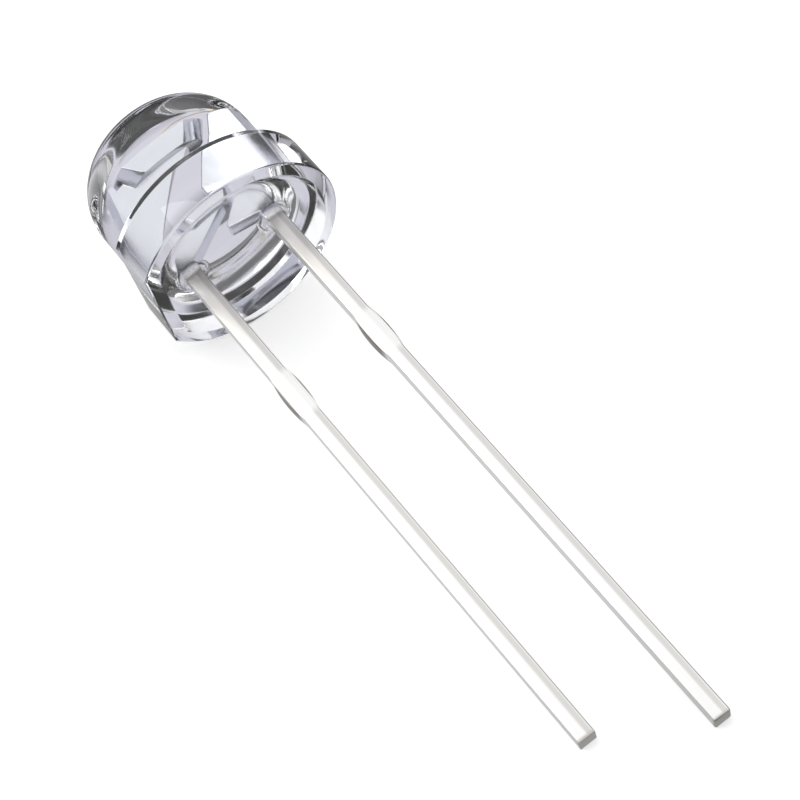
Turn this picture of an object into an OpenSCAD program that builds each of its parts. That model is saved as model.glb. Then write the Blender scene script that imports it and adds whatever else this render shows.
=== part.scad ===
// Through-hole light-emitting diode with a clear, short, wide-angle lens on a thick flange.
// It lies as it comes to rest: on the rim of its base and on the tips of both leads.
// Row frame: +X towards the lead tips, +Y towards the anode side, +Z up, floor at z = 0.
// Each piece is drawn in the diode's own frame, x towards the anode lead and z along the
// optical axis, with z = 0 at the rim of the base, and lay_down() turns it into the row frame.

/* [Lens body] */
// Diameter of the flange
flange_d = 5.8; // [5.4:0.1:6.6]
// Height of the flange
flange_h = 1.4; // [1:0.05:2]
// Depth of the cathode flat, cut into the flange
flat_cut = 0.4; // [0.2:0.05:0.45]
// Diameter of the lens barrel
lens_d = 4.8; // [4.4:0.1:5]
// Height of the straight barrel above the flange
barrel_h = 1.65; // [1.1:0.05:2.2]
// Height of the dome above the barrel
dome_h = 1.85; // [1.7:0.05:2.2]
// Radius of the dome's shoulder, between the barrel and the flatter crown
shoulder_r = 1.55; // [1.2:0.05:1.6]
// Radius of the fillet where the barrel meets the flange
root_r = 0.12; // [0.05:0.01:0.2]
// Width of the flat rim round the hollow in the base
rim_w = 0.36; // [0.15:0.01:0.4]
// Diameter of the hollow's flat middle, where the cast resin sank
hollow_d = 3.3; // [3:0.1:4.2]
// Depth of the hollow
hollow_depth = 0.4; // [0.3:0.05:0.7]
// Length that the resin creeps out along each lead
creep_h = 0.2; // [0.15:0.05:0.5]
// Width of the resin round a lead where it creeps out
creep_d = 1; // [0.9:0.05:1.4]
// Thickness of that resin over a lead's corners, where it ends
creep_film = 0.03; // [0.02:0.01:0.06]

/* [Leads] */
// Distance between the middles of the two leads
pitch = 2.54; // [2.4:0.02:2.7]
// Width of a lead
lead_w = 0.45; // [0.4:0.01:0.5]
// Thickness of the sheet that both leads are stamped from
sheet_t = 0.45; // [0.4:0.01:0.5]
// Length of the cathode lead below the base
cathode_len = 15.4; // [10:0.1:26]
// Length of the anode lead below the base
anode_len = 16.9; // [11:0.1:28]
// Distance from the base to the middle of the cut tie bar
tie_z = 4.2; // [3:0.1:6]
// Length of the cut tie bar along the lead
tie_len = 1.5; // [1:0.1:2]
// Distance that the cut tie bar stands out on each side
tie_out = 0.07; // [0.03:0.01:0.15]

/* [Cathode anvil] */
// Height where the anvil starts to widen inwards
anvil_z = 0.85; // [0.75:0.05:1.1]
// Distance that the anvil's slope reaches past the optical axis
anvil_reach = 0.45; // [0.3:0.05:0.6]
// Height where the anvil's outer edge starts to lean inwards
lean_z = 1.55; // [1.2:0.05:2]
// Width of the ear at the anvil's outer corner
ear_w = 0.16; // [0.12:0.02:0.24]
// Depth of the notch between the ear and the cup
ear_notch = 0.25; // [0.15:0.05:0.35]
// Width of that notch at the cup's rim
notch_w = 0.06; // [0.04:0.01:0.1]
// Distance that the ear's outer edge leans in over that depth
ear_lean = 0.03; // [0.02:0.01:0.06]
// Height of the cup's rim above the base
cup_z = 3.5; // [3.2:0.05:3.8]
// Diameter of the cup's rim
cup_d = 1.76; // [1.5:0.02:1.96]
// Diameter of the cup's foot
cup_foot_d = 1.36; // [1.2:0.02:1.5]
// Height of the cup
cup_h = 0.62; // [0.55:0.01:0.75]
// Thickness of the cup across the sheet
cup_t = 1.1; // [1.04:0.02:1.3]
// Diameter of the reflector's mouth
mouth_d = 0.96; // [0.85:0.01:1]
// Diameter of the reflector's floor
floor_d = 0.62; // [0.56:0.01:0.7]
// Depth of the reflector
reflector_depth = 0.36; // [0.28:0.01:0.45]

/* [Anode post] */
// Gap between the cup and the post
post_gap = 0.15; // [0.1:0.01:0.2]
// Distance from the optical axis to the end of the post's foot
foot_x = 0.18; // [0.1:0.02:0.3]
// Height of the top of the post's foot
foot_z = 1.5; // [1.4:0.05:1.8]
// Height of the foot's end
foot_h = 0.25; // [0.15:0.05:0.35]
// Drop of the foot's underside towards the lead
foot_drop = 0.3; // [0.2:0.05:0.35]

/* [Die and wire] */
// Width of the die
die_w = 0.34; // [0.25:0.01:0.38]
// Height of the die
die_h = 0.14; // [0.1:0.01:0.2]
// Thickness of the paste under the die
paste_t = 0.03; // [0.02:0.01:0.05]
// Distance that the paste shows round the die
paste_edge = 0.02; // [0.01:0.01:0.03]
// Diameter of the bond wire
wire_d = 0.025; // [0.02:0.001:0.04]
// Height of the wire's loop above the die
loop_h = 0.4; // [0.35:0.05:0.6]
// Diameter of the ball that bonds the wire to the die
ball_d = 0.09; // [0.08:0.01:0.11]
// Thickness of the ball and of the bond on the post
bond_t = 0.04; // [0.03:0.01:0.05]

/* [Hidden] */
$fn = 96;

flange_r = flange_d / 2;
lens_r = lens_d / 2;
flat_x = flange_r - flat_cut;
barrel_top = flange_h + barrel_h;
body_h = barrel_top + dome_h;
// Sphere through the dome's top that runs on smoothly from the shoulder
shoulder_mid = lens_r - shoulder_r;
crown_r = (shoulder_mid * shoulder_mid + dome_h * dome_h - shoulder_r * shoulder_r)
    / (2 * (dome_h - shoulder_r));
crown_edge = shoulder_mid * crown_r / (crown_r - shoulder_r);
// Arc from the hollow's flat middle to the rim
climb_w = flange_r - rim_w - hollow_d / 2;
climb_r = (climb_w * climb_w + hollow_depth * hollow_depth) / (2 * hollow_depth);

lead_out = pitch / 2 + lead_w / 2;
lead_in = pitch / 2 - lead_w / 2;
cup_foot_z = cup_z - cup_h;
floor_z = cup_z - reflector_depth;
die_top = floor_z + paste_t + die_h;

// Outer edge of the ear
ear_x = cup_d / 2 + notch_w + ear_w;

// Half the creep's width where it ends on the lead: just past the lead's corners
creep_end_r = norm([lead_w, sheet_t]) / 2 + creep_film;
// Hollow arc of the creep's outline, which runs out along the lead or along the base
creep_w = creep_d / 2 - creep_end_r;
creep_arc_r = (creep_w * creep_w + creep_h * creep_h) / (2 * min(creep_w, creep_h));
creep_arc_mid = creep_w < creep_h
    ? [creep_end_r + creep_arc_r, 0]
    : [creep_d / 2, creep_h - creep_arc_r];
// Small overlap that makes joined solids one
bite = 0.02;

// Rest pose. The base's rim and the outer corner of each lead's tip are level, which gives
// a quadratic for the tangent of the tilt. The shorter cathode lead comes to lie lower.
slope = (anode_len - cathode_len) / pitch;
reach = (anode_len + cathode_len) / 2 + slope * lead_w / 2;
half_t = sheet_t / 2;
quad_a = reach * reach + half_t * half_t * slope * slope;
quad_c = flange_r * flange_r - half_t * half_t;
tan_tilt = (reach * flange_r - sqrt(pow(reach * flange_r, 2) - quad_a * quad_c)) / quad_a;
tilt = atan(tan_tilt);
roll = asin(slope * tan_tilt);
lift = flange_r * cos(tilt);

// Corners of the box round the part as it lies, which set the origin at its middle
tip_x = anode_len * cos(tilt) + sin(tilt) * (lead_out * sin(roll) + half_t * cos(roll));
dome_x = sin(tilt) < crown_edge / crown_r
    ? -(body_h - crown_r) * cos(tilt) - crown_r
    : -barrel_top * cos(tilt) - shoulder_mid * sin(tilt) - shoulder_r;
flat_half = sqrt(flange_r * flange_r - flat_x * flat_x);
flat_y = -flat_x * cos(roll) - flat_half * sin(roll);
middle = [(tip_x + dome_x) / 2, (flange_r + flat_y) / 2];

// Turns a piece from the diode's own frame into the row frame
module lay_down() {
    translate([-middle[0], -middle[1], lift])
        rotate([0, tilt, 0])
            multmatrix([[0, 0, -1, 0], [1, 0, 0, 0], [0, -1, 0, 0], [0, 0, 0, 1]])
                rotate([0, 0, -roll])
                    children();
}

// Stands an x-z outline up as a stamping of the sheet
module stamp(outline) {
    rotate([90, 0, 0])
        linear_extrude(height = sheet_t, center = true)
            polygon(outline);
}

// One long edge of a lead past its cut tie bar, from the tip upwards
// x is the edge's place, and side is 1 or -1 for the way that the bar stands out
function tie_edge(x, side) = [
    for (i = [0 : 8])
        let (u = i / 4 - 1)
            [x + side * tie_out * (1 - u * u), -tie_z + u * tie_len / 2]
];

// Outer shape of the resin, filled
module lens_solid() {
    difference() {
        union() {
            // Flange and the fillet at the barrel's root, both cut by the cathode flat
            difference() {
                union() {
                    cylinder(r = flange_r, h = flange_h);
                    translate([0, 0, flange_h - bite])
                        difference() {
                            cylinder(r = lens_r + root_r, h = root_r + bite);
                            rotate_extrude()
                                translate([lens_r + root_r, root_r + bite])
                                    circle(r = root_r, $fn = 48);
                        }
                }
                translate([-flange_r - flat_x, 0, flange_h])
                    cube([2 * flange_r, 2 * flange_d, 4 * flange_h], center = true);
            }
            // Barrel, shoulder and crown
            rotate_extrude()
                union() {
                    square([lens_r, barrel_top]);
                    intersection() {
                        translate([shoulder_mid, barrel_top])
                            circle(r = shoulder_r);
                        square([lens_r, body_h]);
                    }
                    intersection() {
                        translate([0, body_h - crown_r])
                            circle(r = crown_r);
                        square([crown_edge, 2 * body_h]);
                    }
                }
        }
        hollow_shape();
    }
    // Resin that creeps out along the leads
    for (side = [-1, 1])
        translate([side * pitch / 2, 0, hollow_depth - creep_h])
            rotate_extrude()
                difference() {
                    square([creep_d / 2 + bite, creep_h + bite]);
                    translate(creep_arc_mid)
                        circle(r = creep_arc_r);
                }
}

// Hollow of the base: a flat middle and an arc that climbs to the rim, ended beside the flat
module hollow_shape() {
    intersection() {
        rotate_extrude()
            intersection() {
                union() {
                    translate([0, -climb_r])
                        square([hollow_d / 2, hollow_depth + climb_r]);
                    translate([hollow_d / 2, hollow_depth - climb_r])
                        circle(r = climb_r);
                }
                translate([0, -bite])
                    square([flange_r, hollow_depth + 2 * bite]);
            }
        translate([rim_w - flat_x, -flange_d, -flange_d])
            cube(2 * flange_d);
    }
}

// Clear cast resin: lens, barrel and flange, round all that it holds
module lens_body() {
    color([0.84, 0.87, 0.92, 0.5])
        lay_down()
            difference() {
                lens_solid();
                cathode_shape();
                anode_shape();
                die_shape();
                paste_shape();
                wire_shape();
            }
}

// Cathode: short lead, anvil and reflector cup in one stamping
module cathode_shape() {
    difference() {
        union() {
            stamp(concat(
                [[-lead_out, -cathode_len]],
                [[-lead_in, -cathode_len]],
                tie_edge(-lead_in, 1),
                [
                    [-lead_in, anvil_z],
                    [anvil_reach, cup_foot_z],
                    [anvil_reach, cup_foot_z + bite],
                    [0, cup_foot_z + bite],
                    [0, cup_z - ear_notch],
                    [-cup_d / 2 - notch_w, cup_z - ear_notch],
                    [-cup_d / 2 - notch_w, cup_z],
                    [-ear_x + ear_lean, cup_z],
                    [-ear_x, cup_z - ear_notch],
                    [-lead_out, lean_z],
                ],
                [for (i = [8 : -1 : 0]) tie_edge(-lead_out, -1)[i]]
            ));
            // Cup, flattened on both faces of the sheet
            intersection() {
                translate([0, 0, cup_foot_z])
                    cylinder(r1 = cup_foot_d / 2, r2 = cup_d / 2, h = cup_h);
                translate([-cup_d, -cup_t / 2, cup_foot_z])
                    cube([2 * cup_d, cup_t, cup_h]);
            }
        }
        // Reflector
        translate([0, 0, floor_z])
            cylinder(r1 = floor_d / 2, r2 = mouth_d / 2, h = reflector_depth);
    }
}

module cathode_lead() {
    color([0.86, 0.86, 0.84])
        lay_down()
            cathode_shape();
}

// Anode: long lead and bond post in one stamping
module anode_shape() {
    stamp(concat(
        [[lead_in, -anode_len]],
        [[lead_out, -anode_len]],
        tie_edge(lead_out, 1),
        [
            [lead_out, cup_z],
            [cup_d / 2 + post_gap, cup_z],
            [cup_foot_d / 2 + post_gap, cup_foot_z],
            [foot_x, foot_z],
            [foot_x, foot_z - foot_h],
            [lead_in, foot_z - foot_h - foot_drop],
        ],
        [for (i = [8 : -1 : 0]) tie_edge(lead_in, -1)[i]]
    ));
}

module anode_lead() {
    color([0.86, 0.86, 0.84])
        lay_down()
            anode_shape();
}

// Light-emitting die on the reflector's floor
module die_shape() {
    translate([-die_w / 2, -die_w / 2, floor_z + paste_t])
        cube([die_w, die_w, die_h]);
}

module led_die() {
    color([0.45, 0.5, 0.6])
        lay_down()
            die_shape();
}

// Conductive paste that holds the die
module paste_shape() {
    paste_w = die_w + 2 * paste_edge;
    translate([-paste_w / 2, -paste_w / 2, floor_z])
        cube([paste_w, paste_w, paste_t]);
}

module die_paste() {
    color([0.75, 0.75, 0.72])
        lay_down()
            paste_shape();
}

// Bond wire from the die's top to the anode post
post_mid = (lead_out + cup_d / 2 + post_gap) / 2;
wire_rings = 20;
wire_sides = 8;
function wire_point(u) = [
    post_mid * u,
    die_top + bond_t / 2 + (cup_z - die_top) * u + loop_h * sin(180 * pow(u, 0.7))
];
// Direction along the wire at u, from points just before and after
function wire_way(u) =
    let (
        before = wire_point(max(u - 0.01, 0)),
        after = wire_point(min(u + 0.01, 1)),
        way = after - before
    )
    way / norm(way);
function wire_ring(u) =
    let (p = wire_point(u), way = wire_way(u))
    [
        for (k = [0 : wire_sides - 1])
            let (a = 360 * k / wire_sides, across = wire_d / 2 * cos(a))
                [p[0] - way[1] * across, wire_d / 2 * sin(a), p[1] + way[0] * across]
    ];

module wire_shape() {
    points = [for (i = [0 : wire_rings]) each wire_ring(pow(i / wire_rings, 1.4))];
    sides = [
        for (i = [0 : wire_rings - 1], k = [0 : wire_sides - 1])
            let (next = (k + 1) % wire_sides, a = i * wire_sides)
                [a + k, a + next, a + wire_sides + next, a + wire_sides + k]
    ];
    ends = [
        [for (k = [wire_sides - 1 : -1 : 0]) k],
        [for (k = [0 : wire_sides - 1]) wire_rings * wire_sides + k]
    ];
    polyhedron(points = points, faces = concat(sides, ends));
    translate([0, 0, die_top])
        cylinder(d = ball_d, h = bond_t, $fn = 12);
    translate([post_mid, 0, cup_z])
        cylinder(d = ball_d, h = bond_t, $fn = 12);
}

module bond_wire() {
    color([0.85, 0.68, 0.3])
        lay_down()
            wire_shape();
}

lens_body();
cathode_lead();
anode_lead();
led_die();
die_paste();
bond_wire();
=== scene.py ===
"""Looks of a clear through-hole light-emitting diode that lies on its rim and its lead tips."""
import math

import bmesh
import bpy
from mathutils import Matrix, Vector


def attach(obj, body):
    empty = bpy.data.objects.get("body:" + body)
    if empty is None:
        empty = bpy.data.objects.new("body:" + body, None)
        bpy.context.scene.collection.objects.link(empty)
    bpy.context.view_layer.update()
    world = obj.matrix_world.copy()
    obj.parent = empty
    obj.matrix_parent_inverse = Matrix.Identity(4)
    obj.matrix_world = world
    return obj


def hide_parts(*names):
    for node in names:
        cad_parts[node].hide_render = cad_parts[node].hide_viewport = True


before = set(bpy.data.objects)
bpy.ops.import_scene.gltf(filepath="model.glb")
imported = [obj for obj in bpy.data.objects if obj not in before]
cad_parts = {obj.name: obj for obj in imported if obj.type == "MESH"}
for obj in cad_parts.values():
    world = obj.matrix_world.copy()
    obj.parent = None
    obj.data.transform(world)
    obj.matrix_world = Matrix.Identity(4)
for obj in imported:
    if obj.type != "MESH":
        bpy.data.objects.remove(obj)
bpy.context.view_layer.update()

# Sizes in millimetres, those of part.scad, with its diameters as radii
FLANGE_R, FLANGE_H = 2.9, 1.4
FLAT_X = 2.5
LENS_R, BARREL_TOP, BODY_H = 2.4, 3.05, 4.9
SHOULDER_R = 1.55
ROOT_R = 0.12
RIM_W, HOLLOW_DEPTH, HOLLOW_FLOOR_R = 0.36, 0.4, 1.65
CREEP_H, CREEP_R, CREEP_FILM = 0.2, 0.5, 0.03
PITCH, LEAD_W, SHEET_T = 2.54, 0.45, 0.45
CATHODE_LEN, ANODE_LEN = 15.4, 16.9
TIE_Z, TIE_LEN = 4.2, 1.5

# The dome is a shoulder arc about (SHOULDER_MID, BARREL_TOP) and a crown arc on the axis
DOME_H = BODY_H - BARREL_TOP
SHOULDER_MID = LENS_R - SHOULDER_R
CROWN_R = (SHOULDER_MID ** 2 + DOME_H ** 2 - SHOULDER_R ** 2) / (2 * (DOME_H - SHOULDER_R))
# The hollow's edge, and the arc that rises to it from the hollow's flat middle
HOLLOW_R = FLANGE_R - RIM_W
CLIMB_R = ((HOLLOW_R - HOLLOW_FLOOR_R) ** 2 + HOLLOW_DEPTH ** 2) / (2 * HOLLOW_DEPTH)
# The resin's end on each lead, and the hollow arc in which it creeps out to there
CREEP_END_R = math.hypot(LEAD_W, SHEET_T) / 2 + CREEP_FILM
CREEP_ARC_R = ((CREEP_R - CREEP_END_R) ** 2 + CREEP_H ** 2) / (2 * (CREEP_R - CREEP_END_R))


def rest_pose():
    """Matrix from the diode's own frame in millimetres to the row frame in metres."""
    # The rim and both tips touch the floor, which gives a quadratic for the tilt's tangent
    half_t = SHEET_T / 2
    slope = (ANODE_LEN - CATHODE_LEN) / PITCH
    reach = (ANODE_LEN + CATHODE_LEN) / 2 + slope * LEAD_W / 2
    a = reach ** 2 + (half_t * slope) ** 2
    c = FLANGE_R ** 2 - half_t ** 2
    tan_tilt = (reach * FLANGE_R - math.sqrt((reach * FLANGE_R) ** 2 - a * c)) / a
    tilt, roll = math.atan(tan_tilt), math.asin(slope * tan_tilt)
    # The row frame's middle is that of the box round the part
    tip_x = ANODE_LEN * math.cos(tilt) + math.sin(tilt) * (
        (PITCH / 2 + LEAD_W / 2) * math.sin(roll) + half_t * math.cos(roll))
    dome_x = -(BODY_H - CROWN_R) * math.cos(tilt) - CROWN_R
    flat_y = -FLAT_X * math.cos(roll) - math.sqrt(FLANGE_R ** 2 - FLAT_X ** 2) * math.sin(roll)
    place = Matrix.Translation((-(tip_x + dome_x) / 2, -(FLANGE_R + flat_y) / 2,
                                FLANGE_R * math.cos(tilt)))
    turn = Matrix(((0, 0, -1, 0), (1, 0, 0, 0), (0, -1, 0, 0), (0, 0, 0, 1)))
    return (Matrix.Scale(0.001, 4) @ place @ Matrix.Rotation(tilt, 4, "Y") @ turn
            @ Matrix.Rotation(-roll, 4, "Z"))


TO_ROW = rest_pose()


# Node helpers
def grey(value):
    return (value, value, value, 1)


class Nodes:
    """Node tree of a new material or world, with short calls to add and join nodes."""

    def __init__(self, owner, output="ShaderNodeOutputMaterial"):
        owner.use_nodes = True
        self.owner = owner
        self.tree = owner.node_tree
        self.tree.nodes.clear()
        self.out = self.add(output)

    def add(self, kind, inputs=None, **settings):
        """New node, with each input joined to a socket or set to a value."""
        node = self.tree.nodes.new(kind)
        for key, value in settings.items():
            setattr(node, key, value)
        for key, value in (inputs or {}).items():
            if isinstance(value, bpy.types.NodeSocket):
                self.tree.links.new(value, node.inputs[key])
            else:
                node.inputs[key].default_value = value
        return node

    def surface(self, shader):
        """Shows a shader's result, and returns the material or world."""
        self.tree.links.new(shader.outputs[0], self.out.inputs["Surface"])
        return self.owner

    def place(self, space="Object"):
        return self.add("ShaderNodeTexCoord").outputs[space]

    def calc(self, operation, *values):
        return self.add("ShaderNodeMath", dict(enumerate(values)),
                        operation=operation).outputs[0]

    def measure(self, operation, *vectors):
        """Length, distance or dot product of vectors."""
        return self.add("ShaderNodeVectorMath", dict(enumerate(vectors)),
                        operation=operation).outputs["Value"]

    def span(self, value, start, end, low=0.0, high=1.0, **settings):
        """Value that goes from low to high while the given one goes from start to end."""
        return self.add("ShaderNodeMapRange", {
            "Value": value, "From Min": start, "From Max": end,
            "To Min": low, "To Max": high}, **settings).outputs["Result"]

    def mix(self, share, first, second):
        return self.add("ShaderNodeMix", {"Factor": share, "A": first, "B": second},
                        data_type="RGBA").outputs["Result"]

    def ramp(self, factor, places, colours):
        """Colour ramp with one colour at each place."""
        node = self.add("ShaderNodeValToRGB", {"Fac": factor})
        elements = node.color_ramp.elements
        while len(elements) < len(places):
            elements.new(0.5)
        for element, place, colour in zip(elements, places, colours):
            element.position = place
            element.color = colour
        return node.outputs["Color"]

    def vector(self, x, y, z=0.0):
        return self.add("ShaderNodeCombineXYZ", {"X": x, "Y": y, "Z": z}).outputs[0]

    def noise(self, place, **inputs):
        return self.add("ShaderNodeTexNoise", {"Vector": place, **inputs}).outputs["Fac"]

    def bump(self, height, strength, distance):
        return self.add("ShaderNodeBump", {"Height": height, "Strength": strength,
                                           "Distance": distance}).outputs["Normal"]

    def own_frame(self):
        """Position in the diode's own frame, in millimetres, which rides with the object."""
        parts = self.add("ShaderNodeSeparateXYZ", {"Vector": self.place()}).outputs
        rows = []
        for row in TO_ROW.inverted()[:3]:
            total = row[3]
            for part, factor in zip(parts, row):
                total = self.calc("MULTIPLY_ADD", part, factor, total)
            rows.append(total)
        return rows


# Noise lies mostly between these, so what it drives runs over them
NOISE_BAND = (0.3, 0.7)

# Resin: noise of its skin and the roughness that it drives, the roughness that the hollow
# adds, and where that fades out to the side and upwards, in millimetres
RESIN_COLOUR, RESIN_IOR = (0.955, 0.96, 0.985, 1), 1.52
SKIN_NOISE, SKIN_ROUGHNESS = {"Scale": 2600.0, "Detail": 3.0}, (0.0, 0.03)
HOLLOW_ROUGHNESS = 0.1
HOLLOW_SIDE = (HOLLOW_R - 0.05, HOLLOW_R + 0.1)
HOLLOW_TOP = (HOLLOW_DEPTH + 0.05, HOLLOW_DEPTH + 0.15)


def resin_material():
    """Clear cast epoxy, faintly blue, with a skin that varies a little in gloss."""
    n = Nodes(bpy.data.materials.new("clear_resin"))
    skin = n.span(n.noise(n.place(), **SKIN_NOISE), *NOISE_BAND, *SKIN_ROUGHNESS)
    # The base was the open face of the mould, so its hollow set a little duller
    x, y, z = n.own_frame()
    open_face = n.calc("MULTIPLY",
                       n.span(n.measure("LENGTH", n.vector(x, y)), *HOLLOW_SIDE, 1.0, 0.0),
                       n.span(z, *HOLLOW_TOP, 1.0, 0.0))
    return n.surface(n.add("ShaderNodeBsdfPrincipled", {
        "Base Color": RESIN_COLOUR, "IOR": RESIN_IOR, "Transmission Weight": 1.0,
        "Roughness": n.calc("MULTIPLY_ADD", open_face, HOLLOW_ROUGHNESS, skin)}))


# Lead frame: each colour, and the heights in the diode's own frame where it fades in
SILVER = ((0.93, 0.93, 0.925, 1), (0.98, 0.98, 0.975, 1))
STRAW_TINT, DIP_LINE = (0.965, 0.94, 0.89, 1), (-2.3, -2.1)
INNER_SILVER, INTO_RESIN = (0.76, 0.775, 0.81, 1), (0.2, 0.6)
TIE_CUT_AND_SHADE, TIP_CUT = (0.3, 0.28, 0.26, 1), (0.56, 0.535, 0.51, 1)
# Tie-bar ears past these distances from a lead's middle and below these heights are darkened,
# partly bare steel of the cut and partly painted shade that draws their outline, and tips
# within these distances of the end are bare steel
CUT_SIDE = (LEAD_W / 2 + 0.015, LEAD_W / 2 + 0.045)
CUT_BELOW, CUT_END = (-1.0, -1.2), (0.1, 0.03)
# Painted shade along each lead, a grey stripe of shade and a dark outline beside it at the
# edge: where across its face each starts, is full from and to, and ends, as shares of the
# lead's width, and its colour
LEAD_PAINTED_SHADE = (((0.55, 0.66, 0.86, 0.93), (0.66, 0.645, 0.625, 1)),
              ((0.92, 0.945, 0.975, 0.995), (0.3, 0.28, 0.26, 1)))
# Distances from the tie bar's middle over which the painted shade goes from faint to nearly
# full
TIE_ENDS, SHADE_SHARE = (TIE_LEN / 2 - 0.15, TIE_LEN / 2 + 0.05), (0.25, 0.9)
# Streaks drawn out along the strip, and round spots that vary its roughness
STREAKS, STREAK_PULL = {"Scale": 14.0, "Detail": 4.0, "Roughness": 0.6}, 0.04
STREAK_BUMP = (0.1, 0.00002)
SPOTS, SILVER_ROUGHNESS, TIN_ROUGHNESS = {"Scale": 5.0, "Detail": 5.0}, (0.16, 0.22), 0.2


def add_painted_shade(n, tint, x, z, side):
    """Painted shade along the same side of each lead's face: a grey stripe and a dark outline
    at its edge.
    """
    across = n.span(n.calc("MULTIPLY", side, n.calc("SIGN", x)), -LEAD_W / 2, LEAD_W / 2)
    from_tie = n.calc("ABSOLUTE", n.calc("ADD", z, TIE_Z))
    clear_of_tie = n.span(from_tie, *TIE_ENDS, *SHADE_SHARE)
    # Each band is painted shade: first a grey stripe, then a dark outline along the edge
    for places, colour in LEAD_PAINTED_SHADE:
        shade_band = n.ramp(across, places, (grey(0), grey(1), grey(1), grey(0)))
        tint = n.mix(n.calc("MULTIPLY", shade_band, clear_of_tie), tint, colour)
    return tint


def add_cuts_and_shade(n, tint, x, z, side):
    """Bare steel at the cut tips, and on the tie-bar ears a dark tone: partly bare steel of the
    cut, partly painted shade that draws their outline.
    """
    # Painted shade: the whole ear past the lead's width is darkened, which draws its outline
    tie_cut_and_shade = n.calc("MULTIPLY", n.span(n.calc("ABSOLUTE", side), *CUT_SIDE),
                     n.span(z, *CUT_BELOW))
    length = n.calc("MULTIPLY_ADD", n.calc("GREATER_THAN", x, 0.0),
                    ANODE_LEN - CATHODE_LEN, CATHODE_LEN)
    tip_cut = n.span(n.calc("ADD", z, length), *CUT_END)
    return n.mix(tip_cut, n.mix(tie_cut_and_shade, tint, TIE_CUT_AND_SHADE), TIP_CUT)


def plated_material():
    """Silver-plated lead frame, tin-dipped from just below the base, with drawn streaks."""
    n = Nodes(bpy.data.materials.new("plated_lead"))
    x, y, z = n.own_frame()
    streaks = n.noise(n.vector(x, y, n.calc("MULTIPLY", z, STREAK_PULL)), **STREAKS)
    spots = n.noise(n.vector(x, y, z), **SPOTS)
    # Distance from each lead's middle, positive on the side away from the optical axis
    side = n.calc("SUBTRACT", n.calc("ABSOLUTE", x), PITCH / 2)
    # A pale straw tint from the base to the tin-dip line, and cooler silver in the resin
    tint = n.mix(n.span(z, *DIP_LINE), n.ramp(streaks, NOISE_BAND, SILVER), STRAW_TINT)
    # Painted shade along each lead and on the tie-bar ears, with bare steel at the cut tips
    tint = add_cuts_and_shade(n, add_painted_shade(n, tint, x, z, side), x, z, side)
    inside = n.span(z, *INTO_RESIN)
    tint = n.mix(inside, tint, INNER_SILVER)
    # The tin that the leads were dipped in is duller than the silver inside the resin
    rough = n.calc("MULTIPLY_ADD", n.calc("SUBTRACT", 1.0, inside), TIN_ROUGHNESS,
                   n.span(spots, *NOISE_BAND, *SILVER_ROUGHNESS))
    return n.surface(n.add("ShaderNodeBsdfPrincipled", {
        "Base Color": tint, "Metallic": 1.0, "Roughness": rough,
        "Normal": n.bump(streaks, *STREAK_BUMP)}))


# Small inner pieces: detail of the noise that varies their colour, and strength and depth
# of the bump that it drives
SMALL_DETAIL, SMALL_BUMP = 3.0, (0.2, 0.00001)


def small_material(name, tones, scale, principled):
    """Material whose colour varies between two tones, for the small inner pieces."""
    n = Nodes(bpy.data.materials.new(name))
    noise = n.noise(n.place(), Scale=scale, Detail=SMALL_DETAIL)
    return n.surface(n.add("ShaderNodeBsdfPrincipled", {
        "Base Color": n.ramp(noise, NOISE_BAND, tones),
        "Normal": n.bump(noise, *SMALL_BUMP), **principled}))


# Mesh helpers. Points closer than this, in millimetres, become one.
MERGE = 0.0005


def finish_piece(bm, name, material, replaces, sharp):
    """Turns a mesh in the diode's frame into a piece that rides with the body."""
    bmesh.ops.remove_doubles(bm, verts=bm.verts, dist=MERGE)
    bmesh.ops.recalc_face_normals(bm, faces=bm.faces)
    mesh = bpy.data.meshes.new(name)
    bm.to_mesh(mesh)
    bm.free()
    mesh.transform(TO_ROW)
    mesh.materials.append(material)
    for polygon in mesh.polygons:
        polygon.use_smooth = True
    mesh.set_sharp_from_angle(angle=math.radians(sharp))
    piece = bpy.data.objects.new(name, mesh)
    bpy.context.scene.collection.objects.link(piece)
    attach(piece, "root")
    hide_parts(replaces)


def arc(centre, radius, start, end, steps):
    """Points (r, z) on an arc, from one angle to another in degrees."""
    angles = [math.radians(start + (end - start) * i / steps) for i in range(steps + 1)]
    return [(centre[0] + radius * math.cos(a), centre[1] + radius * math.sin(a))
            for a in angles]


# Lens: one smooth skin of clear resin. Its metal stands inside it and passes through its
# base. EDGE_R rounds the flange's edges, and the counts say how finely the skin is drawn.
EDGE_R = 0.06
AROUND = 288
HOLLOW_RINGS = 84
EDGE_STEPS, ROOT_STEPS, BARREL_STEPS, DOME_STEPS = 6, 8, 6, 36
LENS_SHARP = 25.0


def creep_drop(x, y):
    """Distance that the resin's surface is drawn out along the nearer lead."""
    away = math.hypot(x - math.copysign(PITCH / 2, x), y)
    if away >= CREEP_R:
        return 0.0
    out = CREEP_ARC_R - max(away - CREEP_END_R, 0)
    return CREEP_H - math.sqrt(CREEP_ARC_R ** 2 - out ** 2)


def flat_reach(angle, inset):
    """Distance from the axis to the cathode flat, moved in by inset.

    At an angle that faces away from the flat it is larger than any radius of the lens.
    """
    return (FLAT_X - inset) / max(-math.cos(angle), 0.01)


def hollow_point(angle, r):
    """Point of the base's hollow: a flat middle that climbs in an arc, less the creep."""
    reach = min(r, flat_reach(angle, RIM_W))
    x, y = reach * math.cos(angle), reach * math.sin(angle)
    z = HOLLOW_DEPTH - CLIMB_R + math.sqrt(CLIMB_R ** 2 - max(r - HOLLOW_FLOOR_R, 0) ** 2)
    return x, y, z - creep_drop(x, y)


def outer_point(angle, r, z, inset):
    """Point of the lens's outside, which the cathode flat cuts up to the barrel's root."""
    if z < FLANGE_H + ROOT_R:
        r = min(r, max(flat_reach(angle, inset), LENS_R if z > FLANGE_H else 0))
    return r * math.cos(angle), r * math.sin(angle), z


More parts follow.
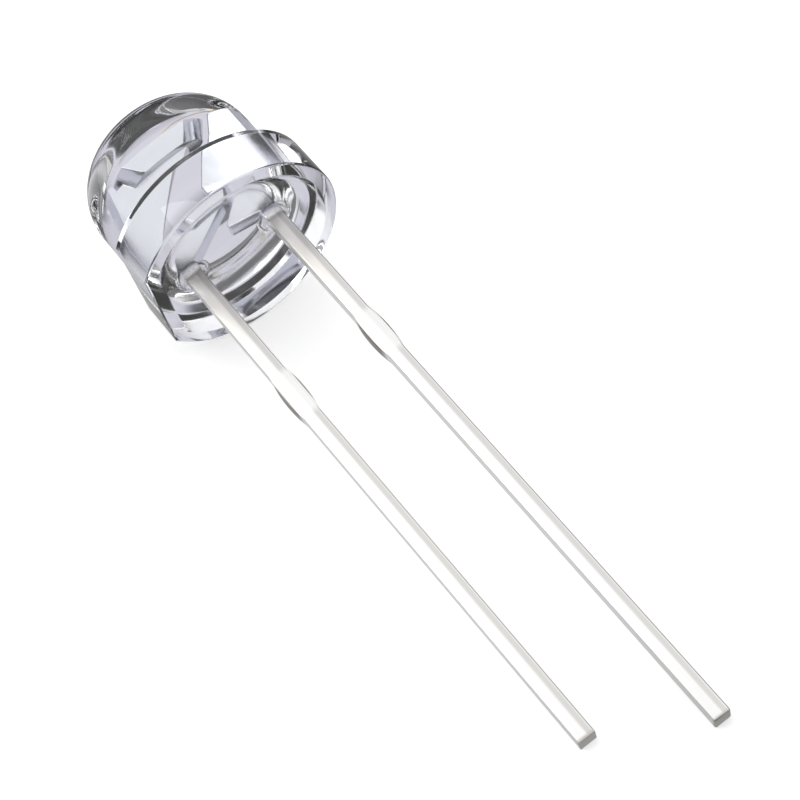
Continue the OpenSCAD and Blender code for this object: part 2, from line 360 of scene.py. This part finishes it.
def lens_profile():
    """Points (r, z, inset) from the hollow's edge round the outside up to the dome's top."""
    edge_r = FLANGE_R - EDGE_R
    points = [(edge_r, 0.0)]
    points += arc((edge_r, EDGE_R), EDGE_R, -90, 0, EDGE_STEPS)[1:]
    points += arc((edge_r, FLANGE_H - EDGE_R), EDGE_R, 0, 90, EDGE_STEPS)
    points += arc((LENS_R + ROOT_R, FLANGE_H + ROOT_R), ROOT_R, 270, 180, ROOT_STEPS)
    points = [(r, z, max(FLANGE_R - r, 0) if r > edge_r - MERGE else EDGE_R)
              for r, z in points]
    root_top = FLANGE_H + ROOT_R
    dome = [(LENS_R, root_top + (BARREL_TOP - root_top) * i / BARREL_STEPS)
            for i in range(1, BARREL_STEPS + 1)]
    crown_z = BODY_H - CROWN_R
    turn = math.degrees(math.atan2(BARREL_TOP - crown_z, SHOULDER_MID))
    dome += arc((SHOULDER_MID, BARREL_TOP), SHOULDER_R, 0, turn, DOME_STEPS)[1:]
    dome += arc((0, crown_z), CROWN_R, turn, 90, DOME_STEPS)[1:-1]
    return points + [(r, z, 0) for r, z in dome]


def spin_angles():
    """Angles round the axis, with one at each corner of the cathode flat."""
    corner = math.acos(FLAT_X / FLANGE_R)
    angles = [2 * math.pi * i / AROUND for i in range(AROUND)]
    for target in (math.pi - corner, math.pi + corner):
        nearest = min(range(AROUND), key=lambda i: abs(angles[i] - target))
        angles[nearest] = target
    return angles


def build_lens(material):
    bm = bmesh.new()
    angles = spin_angles()
    rings = [[bm.verts.new(hollow_point(a, HOLLOW_R * k / HOLLOW_RINGS)) for a in angles]
             for k in range(1, HOLLOW_RINGS + 1)]
    rings += [[bm.verts.new(outer_point(a, *point)) for a in angles]
              for point in lens_profile()]
    pairs = [(i, (i + 1) % AROUND) for i in range(AROUND)]
    for low, high in zip(rings, rings[1:]):
        for i, j in pairs:
            bm.faces.new((low[i], low[j], high[j], high[i]))
    base, top = bm.verts.new((0, 0, HOLLOW_DEPTH)), bm.verts.new((0, 0, BODY_H))
    for i, j in pairs:
        bm.faces.new((base, rings[0][j], rings[0][i]))
        bm.faces.new((top, rings[-1][i], rings[-1][j]))
    finish_piece(bm, "lens_skin", material, "lens_body", LENS_SHARP)


# Leads: width and steps of their rounded edges, and angles in degrees under which faces
# count as one, from which an edge is rounded, and from which it is shaded sharp
LEAD_EDGE_R, LEAD_EDGE_STEPS = 0.045, 3
SAME_FACE, ROUNDED_FROM, LEAD_SHARP = 1.0, 30, 35.0


def build_lead(node, name, material):
    """Copy of a stamped solid with its edges rounded, as plating leaves them."""
    bm = bmesh.new()
    bm.from_mesh(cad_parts[node].data)
    bmesh.ops.transform(bm, matrix=TO_ROW.inverted(), verts=bm.verts)
    bmesh.ops.remove_doubles(bm, verts=bm.verts, dist=MERGE)
    bmesh.ops.dissolve_limit(bm, angle_limit=math.radians(SAME_FACE), verts=bm.verts,
                             edges=bm.edges)
    edges = [e for e in bm.edges if len(e.link_faces) == 2
             and e.calc_face_angle(0) > math.radians(ROUNDED_FROM)]
    bmesh.ops.bevel(bm, geom=edges, offset=LEAD_EDGE_R, offset_type="OFFSET",
                    segments=LEAD_EDGE_STEPS, profile=0.5, affect="EDGES",
                    clamp_overlap=True)
    bmesh.ops.triangulate(bm, faces=[f for f in bm.faces if len(f.verts) > 4])
    finish_piece(bm, name, material, node, LEAD_SHARP)


resin = resin_material()
plated = plated_material()
build_lens(resin)
build_lead("cathode_lead", "cathode_frame", plated)
build_lead("anode_lead", "anode_frame", plated)
dressed = {
    "led_die": small_material("die", ((0.36, 0.42, 0.52, 1), (0.5, 0.56, 0.66, 1)), 9000,
                              {"Roughness": 0.15}),
    "die_paste": small_material("paste", ((0.66, 0.66, 0.62, 1), (0.8, 0.8, 0.77, 1)), 30000,
                                {"Roughness": 0.5}),
    "bond_wire": small_material("gold", ((0.82, 0.6, 0.24, 1), (0.9, 0.7, 0.32, 1)), 20000,
                                {"Roughness": 0.2, "Metallic": 1.0}),
    "lens_body": resin, "cathode_lead": plated, "anode_lead": plated}
for node, material in dressed.items():
    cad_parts[node].data.materials.clear()
    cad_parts[node].data.materials.append(material)

# Camera at the photo's angle, from a fit to the object's outlines
camera_data = bpy.data.cameras.new("camera")
camera_data.sensor_width = 36.0
camera_data.lens = 97.6214
camera_data.clip_start, camera_data.clip_end = 0.001, 10.0
camera = bpy.data.objects.new("camera", camera_data)
camera.matrix_world = Matrix((
    (0.563352, -0.574304, 0.593978, 0.030652),
    (0.804161, 0.546136, -0.234652, -0.011685),
    (-0.189631, 0.609845, 0.769499, 0.041717),
    (0, 0, 0, 1)))
bpy.context.scene.collection.objects.link(camera)
bpy.context.scene.camera = camera

# Stage, in metres. The floor's own tone keeps the shadow, and its lift makes it white.
FLOOR_SIDE, FLOOR_TONE, FLOOR_LIFT = 1.2, 0.8, 0.45
# Sky: tones at heights from the horizon (0) to straight up (1)
SKY_HEIGHTS, SKY_TONES = (0.0, 0.2, 0.5, 0.8), (0.08, 0.2, 0.9, 1.05)
# Soft round patches of sky: direction, angles where each starts and is full, and its tone
SKY_PATCHES = (((0.69, -0.52, 0.5), 48, 24, 0.13),
               ((-0.65, -0.62, 0.42), 36, 20, 1.1))
# Tones of the table as rays through the glass see it: plain, and the dark and in-between tones
# of painted shadow
TABLE_TONE, PAINTED_SHADOW, PAINTED_HALF_SHADOW = (0.67, 0.66, 0.73, 1), grey(0.03), (0.15, 0.15, 0.17, 1)
# Cards just over the floor, each seen by one kind of ray: name, centre, side, places from
# the middle (0) to the middle of each side (0.5), the tones there, and the kind of ray
CARDS = (
    ("table_tone", (0, 0, 0.00001), 0.3, (0.0, 0.45), (TABLE_TONE, TABLE_TONE),
     "transmission"),
    # Painted shadow on the table beside and under the lens, which only rays through the glass
    # see
    ("painted_shadow_beside", (-0.0095, 0.0027, 0.00002), 0.003, (0.25, 0.49), (PAINTED_SHADOW, TABLE_TONE),
     "transmission"),
    ("painted_shadow_under", (-0.0071, 0.0005, 0.00003), 0.0058, (0.35, 0.41, 0.49),
     (PAINTED_SHADOW, PAINTED_HALF_SHADOW, TABLE_TONE), "transmission"),
    # Painted dark reflection: a dark ring round the object that only metal and glass reflect
    ("painted_dark_reflection", (0, 0, 0.00001), 0.3, (0.02, 0.08), (grey(0.65), grey(0.1)), "glossy"))
# Lamps that face the object: name, place, side and power
LAMPS = (("key", (-0.05, -0.12, 0.2), 0.12, 0.1),
         ("fill", (0.1, 0.15, 0.16), 0.1, 0.05))


def level_square(name, centre, side, material):
    """Flat square that faces up."""
    h = side / 2
    mesh = bpy.data.meshes.new(name)
    mesh.from_pydata([(-h, -h, 0), (h, -h, 0), (h, h, 0), (-h, h, 0)], [], [(0, 1, 2, 3)])
    mesh.materials.append(material)
    card = bpy.data.objects.new(name, mesh)
    card.location = centre
    bpy.context.scene.collection.objects.link(card)
    return card


def floor_material():
    """White floor: it keeps a soft shadow and shows white to the camera, glass and metal."""
    n = Nodes(bpy.data.materials.new("floor"))
    rays = n.add("ShaderNodeLightPath").outputs
    seen = n.calc("MAXIMUM", rays["Is Camera Ray"], rays["Is Glossy Ray"])
    seen = n.calc("MAXIMUM", seen, rays["Is Transmission Ray"])
    diffuse = n.add("ShaderNodeBsdfDiffuse", {"Color": grey(FLOOR_TONE)})
    glow = n.add("ShaderNodeEmission", {"Color": grey(1.0),
                                        "Strength": n.calc("MULTIPLY", seen, FLOOR_LIFT)})
    return n.surface(n.add("ShaderNodeAddShader", {0: diffuse.outputs[0],
                                                   1: glow.outputs[0]}))


def studio_world():
    """White sky, dark low down, with a dark patch on the camera's side and a bright one."""
    n = Nodes(bpy.data.worlds.new("studio"), "ShaderNodeOutputWorld")
    direction = n.place("Generated")
    height = n.add("ShaderNodeSeparateXYZ", {"Vector": direction}).outputs["Z"]
    light = n.ramp(height, SKY_HEIGHTS, [grey(tone) for tone in SKY_TONES])
    for middle, outer, inner, tone in SKY_PATCHES:
        near = n.measure("DOT_PRODUCT", direction, Vector(middle).normalized())
        limits = [math.cos(math.radians(angle)) for angle in (outer, inner)]
        light = n.mix(n.span(near, *limits, interpolation_type="SMOOTHSTEP"), light,
                      grey(tone))
    return n.surface(n.add("ShaderNodeBackground", {"Color": light, "Strength": 1.0}))


def shade_card(name, centre, side, places, tones, seen_by):
    """Card of rings in soft tones that only one kind of ray sees; the dark cards paint shadow
    and dark reflections.
    """
    n = Nodes(bpy.data.materials.new(name))
    level = n.add("ShaderNodeVectorMath", {0: n.place("Generated"), 1: (1.0, 1.0, 0.0)},
                  operation="MULTIPLY").outputs["Vector"]
    away = n.measure("DISTANCE", level, (0.5, 0.5, 0.0))
    glow = n.add("ShaderNodeEmission", {"Color": n.ramp(away, places, tones)})
    card = level_square(name, centre, side, n.surface(glow))
    for ray in ("camera", "diffuse", "glossy", "transmission", "volume_scatter", "shadow"):
        setattr(card, "visible_" + ray, ray == seen_by)


def area_light(name, place, side, power):
    """Square lamp that faces the object."""
    data = bpy.data.lights.new(name, "AREA")
    data.size = side
    data.energy = power
    lamp = bpy.data.objects.new(name, data)
    lamp.location = place
    lamp.rotation_euler = (-Vector(place)).to_track_quat("-Z", "Y").to_euler()
    bpy.context.scene.collection.objects.link(lamp)


level_square("floor", (0, 0, 0), FLOOR_SIDE, floor_material())
bpy.context.scene.world = studio_world()
for card in CARDS:
    shade_card(*card)
for lamp in LAMPS:
    area_light(*lamp)
bpy.context.scene.view_settings.view_transform = "Standard"
